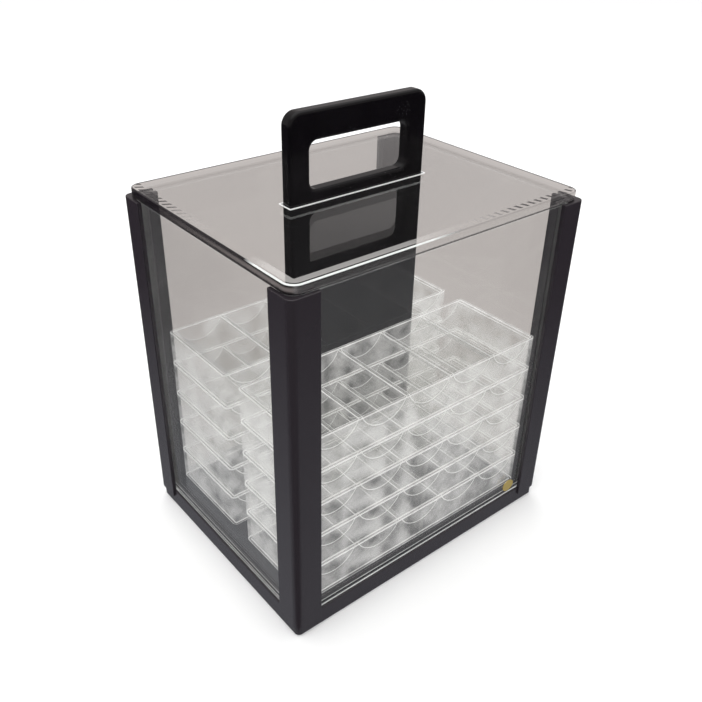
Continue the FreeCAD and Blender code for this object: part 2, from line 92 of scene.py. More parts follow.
# How far in from its front face the lid's edge counts as the front, and how far in from
# its back and right faces the lid counts as a far side.
FRONT_BAND = 1.0 * MM
FAR_BAND = 3.5 * MM
# Distance from dash to dash along the lid's border.
DASH_STEP = 6.2 * MM
# A painted shade: the dark of the lid's edges; the border's dashes take it too.
DARK_EDGE = (0.012, 0.01, 0.012)

# A rack's troughs and lugs run this far into its walls, so that no gap shows.
SUNK = 0.3 * MM
# Under a rack, one trough's shell stops this far short of the middle of a divider.
SHELL_GAP = 0.2 * MM
TINY = 0.01 * MM
# Faces that meet at more than this angle meet in a sharp edge.
SHARP_ANGLE = math.radians(35.0)

# The warm grey room that shows behind clear plastic, far off and on the floor nearby.
ROOM_FAR = (0.62, 0.585, 0.57)
ROOM_NEAR = (0.55, 0.515, 0.50)
# A painted reflection: mirrored rays see the floor dark in a wedge off the case's front
# left corner, and the corner's rounding mirrors that dark.
DARK_REFLECTION_SIDE = Vector((-0.64, -0.77, 0.0))
DARK_REFLECTION_TONE = (0.03, 0.03, 0.035)
# The floor as the case mirrors it, near by and far off: painted reflection tones that only
# mirrored rays see.
MIRRORED_NEAR = (0.33, 0.34, 0.37)
MIRRORED_FAR = (0.055, 0.045, 0.06)
LAMP_TARGET = Vector((0.0, 0.0, 0.15))
FLOOR_REACH = 6.0
FLOOR_DROP = 0.05 * MM
# A line of sight passes up to this many clear faces.
CLEAR_LAYERS = 128

# The materials of the clear pieces, and the slots that their faces use.
SHEET_MATERIALS = ["sheet_face", "sheet_edge", "sheet_top"]
LID_MATERIALS = ["lid_face", "lid_edge", "lid_rim", "lid_border", "lid_slot"]
RACK_MATERIALS = ["rack_face", "rack_edge", "rack_arc", "rack_upright", "rack_trough"]
FACE, EDGE = 0, 1
TOP = 2
RIM, BORDER, SLOT = 2, 3, 4
ARC, UPRIGHT, TROUGH = 2, 3, 4


# ---------------------------------------------------------------- settings


def length(label, note, value):
    return FloatProperty(name=label, description=note, default=value * MM, unit="LENGTH")


def colour(label, note, value):
    return FloatVectorProperty(name=label, description=note, default=value, subtype="COLOR")


class ChipCaseSizes(bpy.types.PropertyGroup):
    """Sizes of the finish that the frame's boxes leave open."""

    sheet_edge: length("Sheet edge", "Rounding of the edges of the clear sheets", 0.35)
    groove_line: length("Groove line", "Height of the tray's rim above the foot of a sheet", 3.15)
    # The bright line where a sheet enters the tray is a painted highlight.
    line_width: length("Line width", "Width of the bright line where a sheet enters the tray", 0.8)
    lid_edge: length("Lid edge", "Rounding on the lid's outer edges", 0.8)
    lid_plate: length("Lid plate", "Thickness of the lid's flat plate and of its skirt", 3.2)
    lid_corner: length("Lid corner", "Radius of the lid's upright corners", 8.0)
    slot_clear: length("Slot clearance", "Gap round the handle in the lid", 0.8)
    slot_corner: length("Slot corner", "Radius of the corners of the lid's slot", 0.5)
    # The bright line round the lid's slot is a painted highlight.
    slot_edge: length("Slot edge", "Width of the bright line round the lid's slot", 1.0)
    border_start: length("Border start", "Distance of the lid's border from its edge", 2.0)
    border_width: length("Border width", "Width of the lid's patterned border", 5.0)
    rack_wall: length("Rack wall", "Thickness of a rack's outer walls", 2.5)
    rack_corner: length("Rack corner", "Radius of a rack's upright corners", 3.0)
    rack_edge: length("Rack edge", "Rounding along the rims of a rack's walls", 0.6)
    trough_radius: length("Trough radius", "Radius of the half-round chip troughs", 19.8)
    trough_depth: length("Trough depth", "Depth of the chip troughs", 13.0)
    trough_shell: length("Trough shell", "Thickness of the plastic under a trough", 2.0)
    divider_top: length("Divider top", "Width of the flat top between two troughs", 2.8)
    # The bright line where a trough meets a wall is a painted highlight.
    arc_line: length("Arc line", "Width of the bright line where a trough meets a wall", 0.7)
    lug_from_end: length("Lug place", "Distance of a rack's lugs from its front and back", 12.0)
    lug_width: length("Lug width", "Width of a rack's lugs", 5.0)
    lug_thick: length("Lug thickness", "How far a lug stands in from the end wall", 1.8)
    lug_rise: length("Lug height", "Height of a rack's lugs", 8.0)


class ChipCaseColours(bpy.types.PropertyGroup):
    """Colours of the finishes."""

    black: colour("Black plastic", "The tray, the posts and the handle", (0.0028, 0.0024, 0.003))
    sheet: colour(
        "Clear sheet", "What the sides, the doors and the lid let through", (0.975, 0.97, 0.965)
    )
    rack: colour("Rack plastic", "What the chip racks let through", (0.946, 0.946, 0.941))
    # The pale colour of the clear plastic's edges is a painted highlight, often with a painted
    # glow.
    edge: colour("Lit edge", "The edges of the clear plastic", (0.92, 0.94, 0.925))
    gold: colour("Gold foil", "The seal on the front door", (1.0, 0.86, 0.42))


# ---------------------------------------------------------------- node helpers


def put(tree, kind, **values):
    """Adds a node; each value goes to the property, or else the input, of that name."""
    node = tree.nodes.new(kind)
    for name, value in values.items():
        label = name.replace("_", " ")
        if label in node.inputs:
            node.inputs[label].default_value = value
        elif hasattr(node, name):
            setattr(node, name, value)
        else:
            raise KeyError(f"{kind} has no {name}")
    return node


def feed(tree, socket, value):
    """Links a socket into another, or sets it to a number or a colour."""
    if hasattr(value, "is_linked"):
        tree.links.new(value, socket)
    elif isinstance(value, (int, float)):
        socket.default_value = value
    else:
        socket.default_value = (*value, 1.0)


def maths(tree, operation, first, second=0.0, third=None):
    node = tree.nodes.new("ShaderNodeMath")
    node.operation = operation
    feed(tree, node.inputs[0], first)
    feed(tree, node.inputs[1], second)
    if third is not None:
        feed(tree, node.inputs[2], third)
    return node.outputs[0]


def ramp(tree, value, low, high, to_low=0.0, to_high=1.0):
    """Maps low..high onto to_low..to_high, held at both ends."""
    node = put(tree, "ShaderNodeMapRange", From_Min=low, From_Max=high)
    node.inputs["To Min"].default_value = to_low
    node.inputs["To Max"].default_value = to_high
    feed(tree, node.inputs["Value"], value)
    return node.outputs["Result"]


def mix_colour(tree, factor, first, second):
    node = tree.nodes.new("ShaderNodeMix")
    node.data_type = "RGBA"
    for index, value in ((0, factor), (6, first), (7, second)):
        feed(tree, node.inputs[index], value)
    return node.outputs[2]


def mix_number(tree, factor, first, second):
    node = tree.nodes.new("ShaderNodeMix")
    for index, value in ((0, factor), (2, first), (3, second)):
        feed(tree, node.inputs[index], value)
    return node.outputs[0]


def new_tree(owner, output_kind):
    """The emptied node tree of a material or a world, and its new output."""
    owner.use_nodes = True
    owner.node_tree.nodes.clear()
    return owner.node_tree, owner.node_tree.nodes.new(output_kind)


def new_material(name):
    """The node tree of a new material, with a Principled shader on its output."""
    tree, output = new_tree(bpy.data.materials.new(name), "ShaderNodeOutputMaterial")
    shader = tree.nodes.new("ShaderNodeBsdfPrincipled")
    tree.links.new(shader.outputs[0], output.inputs[0])
    return tree, shader


def new_group(name, inputs, outputs):
    """A shader node group with (label, default) number inputs and number outputs."""
    group = bpy.data.node_groups.new(name, "ShaderNodeTree")
    for label, default in inputs:
        socket = group.interface.new_socket(label, in_out="INPUT", socket_type="NodeSocketFloat")
        socket.default_value = default
    for label in outputs:
        group.interface.new_socket(label, in_out="OUTPUT", socket_type="NodeSocketFloat")
    return group, group.nodes.new("NodeGroupInput"), group.nodes.new("NodeGroupOutput")


def use_group(tree, name, **values):
    node = tree.nodes.new("ShaderNodeGroup")
    node.node_tree = bpy.data.node_groups[name]
    for label, value in values.items():
        node.inputs[label.replace("_", " ")].default_value = value
    return node


def noise(tree, place, scale, detail=2.0, stretch=None, **values):
    """Noise in the given coordinates, drawn out along an axis if stretch says so."""
    node = put(tree, "ShaderNodeTexNoise", Detail=detail, **values)
    feed(tree, node.inputs["Scale"], scale)
    if stretch is not None:
        mapping = tree.nodes.new("ShaderNodeMapping")
        mapping.inputs["Scale"].default_value = stretch
        tree.links.new(place, mapping.inputs["Vector"])
        place = mapping.outputs[0]
    tree.links.new(place, node.inputs["Vector"])
    return node.outputs["Fac"]


def add_bump(tree, shader, height, strength, distance):
    bump = put(tree, "ShaderNodeBump", Strength=strength, Distance=distance)
    tree.links.new(height, bump.inputs["Height"])
    tree.links.new(bump.outputs[0], shader.inputs["Normal"])


def blend_shaders(tree, factor, first, second):
    mix = tree.nodes.new("ShaderNodeMixShader")
    feed(tree, mix.inputs[0], factor)
    tree.links.new(first.outputs[0], mix.inputs[1])
    tree.links.new(second.outputs[0], mix.inputs[2])
    return mix


def lay_over_clear(tree, share, tint, shader):
    """Shows a material's shader by the given share, and tinted clear plastic for the rest."""
    clear = tree.nodes.new("ShaderNodeBsdfTransparent")
    feed(tree, clear.inputs["Color"], tint)
    mix = blend_shaders(tree, share, clear, shader)
    tree.links.new(mix.outputs[0], tree.nodes["Material Output"].inputs[0])


class Spot:
    """The spot of a piece that is being shaded: its place from the piece's middle, and
    how far its surface looks towards +X."""

    def __init__(self, tree):
        source = tree.nodes.new("ShaderNodeTexCoord")
        self.place = source.outputs["Object"]
        parts = tree.nodes.new("ShaderNodeSeparateXYZ")
        tree.links.new(self.place, parts.inputs[0])
        self.x, self.y, self.z = parts.outputs
        facing = tree.nodes.new("ShaderNodeSeparateXYZ")
        tree.links.new(source.outputs["Normal"], facing.inputs[0])
        self.facing_x = facing.outputs[0]


# ---------------------------------------------------------------- shared effects


def make_handling_marks():
    """Finger smears, fine wipe marks and specks of dust."""
    inputs = [("Smear scale", 14.0), ("Dust scale", 700.0), ("Dust amount", 0.5)]
    group, entry, leave = new_group("handling_marks", inputs, ["Smears", "Wipes", "Dust"])
    place = group.nodes.new("ShaderNodeTexCoord").outputs["Object"]
    smear = noise(group, place, entry.outputs["Smear scale"], 4.0, Roughness=0.6, Distortion=0.7)
    feed(group, leave.inputs["Smears"], ramp(group, smear, 0.42, 0.72))
    wipe = noise(group, place, 1.0, 3.0, (30.0, 240.0, 900.0))
    feed(group, leave.inputs["Wipes"], ramp(group, wipe, 0.62, 0.7))
    speck = group.nodes.new("ShaderNodeTexVoronoi")
    group.links.new(place, speck.inputs["Vector"])
    group.links.new(entry.outputs["Dust scale"], speck.inputs["Scale"])
    near = maths(group, "LESS_THAN", speck.outputs["Distance"], 0.16)
    spread = noise(group, place, 60.0)
    limit = maths(group, "MULTIPLY_ADD", entry.outputs["Dust amount"], -0.36, 0.72)
    patch = maths(group, "GREATER_THAN", spread, limit)
    feed(group, leave.inputs["Dust"], maths(group, "MULTIPLY", near, patch))


def make_moulding_waviness():
    """The slow waviness of moulded plastic and its fine grain, as a height."""
    inputs = [("Scale", 20.0), ("Fine scale", 900.0), ("Fine share", 0.008)]
    group, entry, leave = new_group("moulding_waviness", inputs, ["Height"])
    place = group.nodes.new("ShaderNodeTexCoord").outputs["Object"]
    slow = noise(group, place, entry.outputs["Scale"])
    fine = noise(group, place, entry.outputs["Fine scale"])
    height = maths(group, "MULTIPLY_ADD", fine, entry.outputs["Fine share"], slow)
    feed(group, leave.inputs["Height"], height)


# ---------------------------------------------------------------- materials


def black_plastic(name, colours, shine):
    """Glossy moulded black plastic, handled and wiped. shine is its specular level."""
    tree, shader = new_material(name)
    shader.inputs["Specular IOR Level"].default_value = shine
    marks = use_group(tree, "handling_marks", Smear_scale=16.0, Dust_amount=0.15)
    lighter = [c * 1.6 + 0.0006 for c in colours.black]
    tone = mix_colour(tree, marks.outputs["Smears"], colours.black, lighter)
    dust = maths(tree, "MULTIPLY", marks.outputs["Dust"], 0.35)
    feed(tree, shader.inputs["Base Color"], mix_colour(tree, dust, tone, (0.2, 0.2, 0.21)))
    smeared = ramp(tree, marks.outputs["Smears"], 0.0, 1.0, 0.09, 0.2)
    rough = maths(tree, "MULTIPLY_ADD", marks.outputs["Wipes"], 0.06, smeared)
    feed(tree, shader.inputs["Roughness"], rough)
    wave = use_group(tree, "moulding_waviness", Scale=26.0)
    add_bump(tree, shader, wave.outputs[0], 0.2, 0.1 * MM)


def clear_face(name, tint, mirror, haze, streaks=0.0):
    """A polished clear face. mirror is its share of mirrored light seen square on, which
    grows towards grazing; haze is the share of haze inside the plastic, which dims what
    shows through and is drawn as a painted glow, an emission lit by no lamp; streaks is
    how much more of that painted glow gathers in lines along a trough."""
    tree, shader = new_material(name)
    tilt = put(tree, "ShaderNodeLayerWeight", Blend=0.5).outputs["Facing"]
    glance = maths(tree, "MULTIPLY_ADD", maths(tree, "POWER", tilt, 5.0), 1.0 - mirror, mirror)
    if streaks:
        place = tree.nodes.new("ShaderNodeTexCoord").outputs["Object"]
        # Painted streaks of glowing haze along the trough.
        along = ramp(tree, noise(tree, place, 1.0, 1.0, STREAK_STRETCH), 0.58, 0.64)
        veil = maths(tree, "MULTIPLY_ADD", along, streaks, haze)
        through = mix_colour(tree, veil, tint, (0.0, 0.0, 0.0))
        light = maths(tree, "MULTIPLY", veil, PAINTED_HAZE_GLOW)
    else:
        through = [c * (1.0 - haze) for c in tint]
        light = haze * PAINTED_HAZE_GLOW
    # The shader shows by its mirrored share only. Dividing the painted glow by that share
    # leaves it the same from every side.
    feed(tree, shader.inputs["Emission Color"], maths(tree, "DIVIDE", light, glance))
    shader.inputs["Emission Strength"].default_value = 1.0
    shader.inputs["Metallic"].default_value = 1.0
    feed(tree, shader.inputs["Base Color"], (0.92, 0.94, 0.93))
    smears = use_group(tree, "handling_marks", Smear_scale=11.0).outputs["Smears"]
    feed(tree, shader.inputs["Roughness"], ramp(tree, smears, 0.0, 1.0, 0.02, 0.07))
    lay_over_clear(tree, glance, through, shader)


def edge_material(name, tint, share, tone):
    """An edge of clear plastic. share tells how solid it shows and tone its colour; both
    are worked out from the spot that is shaded."""
    tree, shader = new_material(name)
    spot = Spot(tree)
    feed(tree, shader.inputs["Base Color"], tone(tree, spot))
    shader.inputs["Roughness"].default_value = 0.2
    lay_over_clear(tree, share(tree, spot), tint, shader)
    return shader


def painted_highlight_edge(name, colours, low, high, scale, glow=0.0):
    """An edge painted pale, a painted highlight, solid by low to high in patches of the
    given scale. glow is a painted glow: an emission, lit by no lamp, that stands in for
    the light led to the edge inside the plastic."""

    def share(tree, spot):
        patches = noise(tree, spot.place, scale, 3.0, Roughness=0.6)
        return ramp(tree, patches, 0.35, 0.65, low, high)

    def tone(tree, spot):
        own = 1.0 - glow
        pale = [c * own for c in colours.edge]
        return mix_colour(tree, noise(tree, spot.place, scale), pale, (own, own, own))

    shader = edge_material(name, colours.rack, share, tone)
    shader.inputs["Emission Color"].default_value = (1.0, 1.0, 0.99, 1.0)
    shader.inputs["Emission Strength"].default_value = glow


def near_corner(tree, spot, half, fade):
    """1 at the lid's front left corner, dying away between two distances from it along
    the front; along the left side it falls three times as fast."""
    along_front = maths(tree, "ADD", spot.x, half.x)
    along_side = maths(tree, "MULTIPLY_ADD", spot.y, 3.0, 3.0 * half.y)
    return ramp(tree, maths(tree, "MAXIMUM", along_front, along_side), *fade, 1.0, 0.0)


def far_side(tree, spot, half):
    """1 along the lid's back and right sides."""
    past_x = maths(tree, "GREATER_THAN", spot.x, half.x - FAR_BAND)
    past_y = maths(tree, "GREATER_THAN", spot.y, half.y - FAR_BAND)
    return maths(tree, "MAXIMUM", past_x, past_y)


def lid_edge(colours, half):
    """The lid's rounded edges. The top one has a painted highlight near the front left
    corner, is clear along the rest of the front and is painted dark, as shade, elsewhere;
    the foot shows only on the near sides, painted dark but for a painted highlight at the
    corner."""

    def share(tree, spot):
        near = near_corner(tree, spot, half, TOP_GLEAM)
        front = maths(tree, "LESS_THAN", spot.y, FRONT_BAND - half.y)
        faint = maths(tree, "MULTIPLY", front, maths(tree, "SUBTRACT", 1.0, near))
        top = mix_number(tree, faint, 1.0, 0.2)
        foot = mix_number(tree, far_side(tree, spot, half), 0.9, 0.0)
        return mix_number(tree, maths(tree, "GREATER_THAN", spot.z, 0.0), foot, top)

    def tone(tree, spot):
        # A painted highlight near the corner, fading to painted shade.
        top = near_corner(tree, spot, half, TOP_GLEAM)
        foot = near_corner(tree, spot, half, FOOT_GLEAM)
        lit = mix_number(tree, maths(tree, "GREATER_THAN", spot.z, 0.0), foot, top)
        return mix_colour(tree, lit, DARK_EDGE, [c * 0.8 for c in colours.edge])

    edge_material("lid_edge", colours.sheet, share, tone)


def lid_rim(colours, half):
    """The outside of the lid's skirt. Along the left side it is painted dark, as shade,
    round a paler core of painted light that grows towards the front; along the front it
    is clear with a painted dark foot, and the far sides are clear."""
    foot_fade = (-0.7 * half.z, -0.5 * half.z)

    def on_side(tree, spot):
        return ramp(tree, spot.facing_x, -0.3, -0.7)

    def share(tree, spot):
        front = ramp(tree, spot.z, *foot_fade, 0.8, 0.12)
        near = mix_number(tree, on_side(tree, spot), front, 0.94)
        return mix_number(tree, far_side(tree, spot, half), near, 0.03)

    def tone(tree, spot):
        # Painted shade: a dark foot along the front, and a dark left side round a paler core of
        # painted light.
        front = mix_colour(tree, ramp(tree, spot.z, *foot_fade), DARK_EDGE, (0.3, 0.29, 0.29))
        height = maths(tree, "ABSOLUTE", spot.z)
        middle = ramp(tree, height, 0.15 * half.z, 0.6 * half.z, 1.0, 0.0)
        toward = ramp(tree, spot.y, 0.6 * half.y, -half.y)
        core = maths(tree, "MULTIPLY", middle, toward)
        dark = mix_colour(tree, core, (0.004, 0.003, 0.004), (0.16, 0.14, 0.135))
        return mix_colour(tree, on_side(tree, spot), front, dark)

    edge_material("lid_rim", colours.sheet, share, tone)


def lid_border(colours, half, sizes):
    """A border on top of the lid: a painted highlight, a pale gleam, at its front left
    corner, and a row of short slanted dashes along the left and the front, strongest at
    the far end of each."""
    strip = sizes.border_start + sizes.border_width + 1.0 * MM

    def row(tree, along, across, fade, limit, slope):
        slant = maths(tree, "MULTIPLY_ADD", across, slope, along)
        cycle = maths(tree, "FRACT", maths(tree, "DIVIDE", slant, DASH_STEP))
        off_middle = maths(tree, "ABSOLUTE", maths(tree, "SUBTRACT", cycle, 0.5))
        dash = ramp(tree, off_middle, 0.18, 0.26, 1.0, 0.0)
        shown = maths(tree, "MULTIPLY", dash, ramp(tree, along, *fade))
        return maths(tree, "MULTIPLY", shown, maths(tree, "LESS_THAN", across, limit))

    def dashes(tree, spot):
        left_fade = (-0.1 * half.y, 0.5 * half.y)
        front_fade = (-0.05 * half.x, 0.5 * half.x)
        left = row(tree, spot.y, spot.x, left_fade, strip - half.x, 0.6)
        front = row(tree, spot.x, spot.y, front_fade, strip - half.y, 0.3)
        return maths(tree, "MAXIMUM", left, front)

    def share(tree, spot):
        # A painted highlight near the front left corner.
        gleam = maths(tree, "MULTIPLY", near_corner(tree, spot, half, BORDER_GLEAM), 0.45)
        return maths(tree, "MAXIMUM", gleam, maths(tree, "MULTIPLY", dashes(tree, spot), 0.9))

    def tone(tree, spot):
        return mix_colour(tree, dashes(tree, spot), (0.62, 0.6, 0.58), DARK_EDGE)

    edge_material("lid_border", colours.sheet, share, tone)


def touched_finish(name, smear_scale, tones, roughness, metallic=0.0):
    """A plain finish whose colour and roughness go from the first to the second value
    where it was touched."""
    tree, shader = new_material(name)
    smears = use_group(tree, "handling_marks", Smear_scale=smear_scale).outputs["Smears"]
    feed(tree, shader.inputs["Base Color"], mix_colour(tree, smears, *tones))
    feed(tree, shader.inputs["Roughness"], ramp(tree, smears, 0.0, 1.0, *roughness))
    shader.inputs["Metallic"].default_value = metallic
    return tree, shader


def gold_foil(colours):
    """Bright gold foil with a fine grain."""
    tones = (colours.gold, [c * 0.72 for c in colours.gold])
    tree, shader = touched_finish("gold_foil", 300.0, tones, (0.35, 0.55), 0.35)
    wave = use_group(tree, "moulding_waviness", Scale=900.0)
    add_bump(tree, shader, wave.outputs[0], 0.3, 0.03 * MM)


def zinc_steel():
    """Zinc-plated steel for the screws under the tray."""
    tones = ((0.52, 0.53, 0.55), (0.38, 0.39, 0.41))
    touched_finish("zinc_steel", 400.0, tones, (0.28, 0.5), 1.0)


def foot_rubber():
    """Matt black rubber with a slight grain."""
    tones = ((0.02, 0.02, 0.021), (0.06, 0.058, 0.055))
    tree, shader = touched_finish("foot_rubber", 120.0, tones, (0.7, 0.9))
    wave = use_group(tree, "moulding_waviness", Scale=1500.0)
    add_bump(tree, shader, wave.outputs[0], 0.5, 0.1 * MM)


# ---------------------------------------------------------------- mesh helpers


class Shape:
    """Collects corners and faces, each face with its material slot."""

    def __init__(self):
        self.corners = []
        self.faces = []
        self.slots = []

    def add_corners(self, places):
        first = len(self.corners)
        self.corners.extend(places)
        return list(range(first, len(self.corners)))

    def add_face(self, indices, slot):
        self.faces.append(tuple(indices))
        self.slots.append(slot)

    def add_sweep(self, rings, slots, closed):
        """Skins rings of equal length; slots gives the material slot along a ring."""
        rows = [self.add_corners(ring) for ring in rings]
        count = len(rows[0])
        following = rows[1:] + rows[:1] if closed else rows[1:]
        for here, there in zip(rows, following):
            for i in range(count):
                j = (i + 1) % count
                self.add_face((here[i], here[j], there[j], there[i]), slots[i])
        return rows

    def reslot(self, first, test, slot):
        """Moves the faces from first on whose corners pass the test to another slot."""
        for i in range(first, len(self.faces)):
            if all(test(self.corners[k]) for k in self.faces[i]):
                self.slots[i] = slot

    def add_block(self, low, high, slot):
        """A box between two corners."""
        ends = [(low[axis], high[axis]) for axis in range(3)]
        at = self.add_corners([(x, y, z) for x in ends[0] for y in ends[1] for z in ends[2]])
        sides = ((0, 1, 3, 2), (4, 6, 7, 5), (0, 4, 5, 1), (2, 3, 7, 6))
        for side in sides + ((0, 2, 6, 4), (1, 5, 7, 3)):
            self.add_face([at[i] for i in side], slot)

    def add_plate(self, outline, hole, slot):
        """A flat face between two loops round the middle, the inner one a hole."""
        for sx, sy in ((1, 1), (-1, 1), (-1, -1), (1, -1)):
            around = [i for i in outline if self.in_quarter(i, sx, sy)]
            inside = [i for i in hole if self.in_quarter(i, sx, sy)]
            self.add_face(around + inside[::-1], slot)
            nx, ny = (-sx, sy) if sx == sy else (sx, -sy)
            next_around = [i for i in outline if self.in_quarter(i, nx, ny)]
            next_inside = [i for i in hole if self.in_quarter(i, nx, ny)]
            self.add_face((around[-1], next_around[0], next_inside[0], inside[-1]), slot)

    def in_quarter(self, index, sx, sy):
        return self.corners[index][0] * sx > 0 and self.corners[index][1] * sy > 0

    def to_mesh(self, name, materials):
        """The mesh, with its faces turned outward and smooth except at sharp edges."""
        mesh = bpy.data.meshes.new(name)
        mesh.from_pydata([Vector(corner) for corner in self.corners], [], self.faces)
        for material in materials:
            mesh.materials.append(bpy.data.materials[material])
        for polygon, slot in zip(mesh.polygons, self.slots):
            polygon.material_index = slot
        work = bmesh.new()
        work.from_mesh(mesh)
        bmesh.ops.recalc_face_normals(work, faces=work.faces)
        smooth_shade(work)
        work.to_mesh(mesh)
        work.free()
        return mesh


def smooth_shade(work):
    for edge in work.edges:
        edge.smooth = edge.is_manifold and edge.calc_face_angle() <= SHARP_ANGLE
    for face in work.faces:
        face.smooth = True


def quarter_turns(half_x, half_y, radius, steps):
    """Points round a rectangle with rounded corners, with the direction out of each."""
    path = []
    for k, (sx, sy) in enumerate(((1, 1), (-1, 1), (-1, -1), (1, -1))):
        for i in range(steps + 1):
            angle = math.radians(90.0) * (k + i / steps)
            out = Vector((math.cos(angle), math.sin(angle), 0))
            centre = Vector((sx * (half_x - radius), sy * (half_y - radius), 0))
            path.append((centre + out * radius, out))
    return path


def half_of(node):
    """Half the size of a frame node's box."""
    low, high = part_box(node)
    return (high - low) / 2


def add_object(name, data):
    """An object in the scene's own collection."""
    thing = bpy.data.objects.new(name, data)
    bpy.context.scene.collection.objects.link(thing)
    return thing


def finish_node(name, material):
    """Gives a carried-over frame node its material."""
    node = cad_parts[name]
    node.data.materials.clear()
    node.data.materials.append(bpy.data.materials[material])


def place_piece(name, mesh, node, body):
    """Puts a mesh made about its own middle where a frame node is, in that node's stead."""
    low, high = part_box(node)
    piece = add_object(name, mesh)
    piece.location = (low + high) / 2
    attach(piece, body)
    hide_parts(node)


# ---------------------------------------------------------------- the clear sheets and the lid


def sheet_mesh(name, sizes):
    """A clear sheet about its own middle, its upright faces split along the painted bright
    line, a painted highlight, where it enters the tray."""
    half = half_of(name)
    flat_to_y = half.y < half.x
    thick = half.y if flat_to_y else half.x
    reach = half.x if flat_to_y else half.y
    low = sizes.groove_line - half.z
    high = low + sizes.line_width
    section = [at for at, out in quarter_turns(thick, half.z, sizes.sheet_edge, steps=2)]
    points = []
    slots = []
    for here, there in zip(section, section[1:] + section[:1]):
        points.append((here.x, here.y))
        if abs(there.y - here.y) < half.z:
            slots.append(TOP if here.y + there.y > 0.0 else EDGE)
            continue
        falls = there.y < here.y
        slots.append(FACE)
        for level, slot in ((high, EDGE), (low, FACE)) if falls else ((low, EDGE), (high, FACE)):
            points.append((here.x, level))
            slots.append(slot)
    shape = Shape()
    ends = []
    for along in (reach, -reach):
        ends.append([(along, t, z) if flat_to_y else (t, along, z) for t, z in points])
    for row in shape.add_sweep(ends, slots, closed=False):
        shape.add_face(row, EDGE)
    return shape.to_mesh(name + "_finish", SHEET_MATERIALS)


def lid_profile(sizes, half):
    """The lid's section at its edge, from inside over the foot to the top: how far out,
    how high, and the slot of the face that follows."""
    plate = sizes.lid_plate
    edge = sizes.lid_edge
    foot = edge / 2
    profile = [(-plate, half.z - plate, FACE), (-plate, -half.z, FACE), (-foot, -half.z, EDGE)]
    profile += [(0.0, foot - half.z, RIM), (0.0, half.z - edge, EDGE)]
    steps = 3
    for i in range(1, steps + 1):
        angle = math.radians(90.0) * i / steps
        out = edge * (math.cos(angle) - 1)
        height = half.z - edge + edge * math.sin(angle)
        profile.append((out, height, EDGE if i < steps else FACE))
    profile.append((-sizes.border_start, half.z, BORDER))
    profile.append((-sizes.border_start - sizes.border_width, half.z, FACE))
    return profile


def lid_mesh(sizes):
    """The clear lid about its own middle: a plate on a skirt, with the handle's slot."""
    half = half_of("lid")
    shape = Shape()
    profile = lid_profile(sizes, half)
    rows = []
    for point, out in quarter_turns(half.x, half.y, sizes.lid_corner, steps=8):
        ring = [point + out * s + Vector((0, 0, z)) for s, z, slot in profile]
        rows.append(shape.add_corners(ring))
    for here, there in zip(rows, rows[1:] + rows[:1]):
        for i in range(len(profile) - 1):
            shape.add_face((here[i], here[i + 1], there[i + 1], there[i]), profile[i][2])

    handle = half_of("handle_divider")
    slot_x = handle.x + sizes.slot_clear
    slot_y = handle.y + sizes.slot_clear
    shoulder = half.z - sizes.slot_edge
    under = half.z - sizes.lid_plate
    loops = []
    for spread, z in ((sizes.slot_edge, half.z), (0.0, half.z), (0.0, shoulder), (0.0, under)):
        corner = sizes.slot_corner + spread
        turns = quarter_turns(slot_x + spread, slot_y + spread, corner, steps=3)
        loops.append(shape.add_corners([point + Vector((0, 0, z)) for point, out in turns]))
    for upper, lower, slot in zip(loops, loops[1:], (SLOT, SLOT, FACE)):
        for i in range(len(upper)):
            j = (i + 1) % len(upper)
            shape.add_face((upper[i], upper[j], lower[j], lower[i]), slot)
    shape.add_plate([row[-1] for row in rows], loops[0], FACE)
    shape.add_plate([row[0] for row in rows], loops[-1], FACE)
    return shape.to_mesh("lid_finish", LID_MATERIALS)


# ---------------------------------------------------------------- the racks


def trough_profile(sizes, half_length, half_height):
    """The cross-section of a rack's floor: its top from left to right, then its
    underside back again. Gives the points, the material slot of each side, and a line
    that runs just under the top."""
    radius = sizes.trough_radius
    depth = sizes.trough_depth
    half = math.sqrt(radius**2 - (radius - depth) ** 2)
    pitch = 2 * half + sizes.divider_top
    axis = half_height - depth + radius
    swing = math.asin(half / radius)
    steps = 20
    rim = sizes.arc_line / radius
    turns = [-swing, -swing + rim] + [swing * (2 * i / steps - 1) for i in range(1, steps)]
    turns += [swing - rim, swing]
    last = len(turns) - 1
    points = [(-half_length, half_height)]
    lined = [(-half_length, half_height - sizes.arc_line)]
    slots = [ARC]
    for k in range(TROUGHS):
        centre = (k - TROUGHS // 2) * pitch
        for i, angle in enumerate(turns):
            points.append((centre + radius * math.sin(angle), axis - radius * math.cos(angle)))
            wider = radius + sizes.arc_line
            lined.append((centre + wider * math.sin(angle), axis - wider * math.cos(angle)))
            in_line = i in (0, last - 1)
            slots.append(ARC if i == last else EDGE if in_line else TROUGH)
    points.append((half_length, half_height))
    lined.append((half_length, half_height - sizes.arc_line))
    slots.append(FACE)
    outer = radius + sizes.trough_shell
    reach = pitch / 2 - SHELL_GAP
    swing = math.asin(reach / outer)
    ceiling = axis - outer * math.cos(swing)
    points.append((half_length, ceiling))
    slots.append(FACE)
    for k in reversed(range(TROUGHS)):
        centre = (k - TROUGHS // 2) * pitch
        for i in range(steps + 1):
            angle = swing - 2 * swing * i / steps
            points.append((centre + outer * math.sin(angle), axis - outer * math.cos(angle)))
            slots.append(ARC if i in (0, steps - 1) else TROUGH)
    points.append((-half_length, ceiling))
    slots.append(FACE)
    return points, slots, lined


